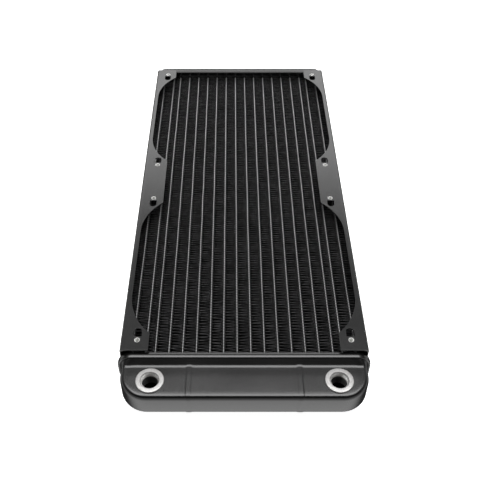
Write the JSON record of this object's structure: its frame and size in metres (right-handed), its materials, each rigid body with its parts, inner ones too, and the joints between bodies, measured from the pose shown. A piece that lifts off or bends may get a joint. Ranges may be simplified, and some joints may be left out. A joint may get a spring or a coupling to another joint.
{
  "type": "liquid cooling radiator",
  "caption": "Flat black tube-and-fin radiator for a liquid-cooled computer, with a row of fan screw holes along each side and both hose ports on one end tank.",
  "frame": {"origin": "centre of the bounding box's base: the middle of the width and of the length over the two tanks, on the lower fan face", "axes": "+X across the radiator, towards the right-hand side channel; +Y along the tubes, away from the ports; +Z through the core, towards the fan face that the ports open towards"},
  "size_m": [0.182, 0.425, 0.0345],
  "materials": {
    "black_coat": "satin black powder coat with a soft sheen, a little lighter along the folded edges",
    "fin_coat": "thin folded strip under a matt black coat",
    "tube_metal": "flat tube under a thin black coat that lets grey metal through along its edges",
    "inner_metal": "bare inner wall, unpainted",
    "port_metal": "satin nickel over turned brass, with a darker thread inside"
  },
  "bodies": {
    "root": {"side_channel_left": "black_coat", "side_channel_right": "black_coat", "tube_01": "tube_metal", "tube_02": "tube_metal", "tube_03": "tube_metal", "tube_04": "tube_metal", "tube_05": "tube_metal", "tube_06": "tube_metal", "tube_07": "tube_metal", "tube_08": "tube_metal", "tube_09": "tube_metal", "tube_10": "tube_metal", "tube_11": "tube_metal", "tube_12": "tube_metal", "tube_13": "tube_metal", "tube_14": "tube_metal", "tube_15": "tube_metal", "tube_16": "tube_metal", "tube_17": "tube_metal", "tube_18": "tube_metal", "fin_strip_01": "fin_coat", "fin_strip_02": "fin_coat", "fin_strip_03": "fin_coat", "fin_strip_04": "fin_coat", "fin_strip_05": "fin_coat", "fin_strip_06": "fin_coat", "fin_strip_07": "fin_coat", "fin_strip_08": "fin_coat", "fin_strip_09": "fin_coat", "fin_strip_10": "fin_coat", "fin_strip_11": "fin_coat", "fin_strip_12": "fin_coat", "fin_strip_13": "fin_coat", "fin_strip_14": "fin_coat", "fin_strip_15": "fin_coat", "fin_strip_16": "fin_coat", "fin_strip_17": "fin_coat", "fin_strip_18": "fin_coat", "fin_strip_19": "fin_coat", "header_plate_port_end": "black_coat", "header_plate_far_end": "black_coat", "tank_port_end": "black_coat", "tank_far_end": "black_coat", "tank_baffle": "inner_metal", "port_boss_left": "port_metal", "port_boss_right": "port_metal"}
  },
  "joints": []
}
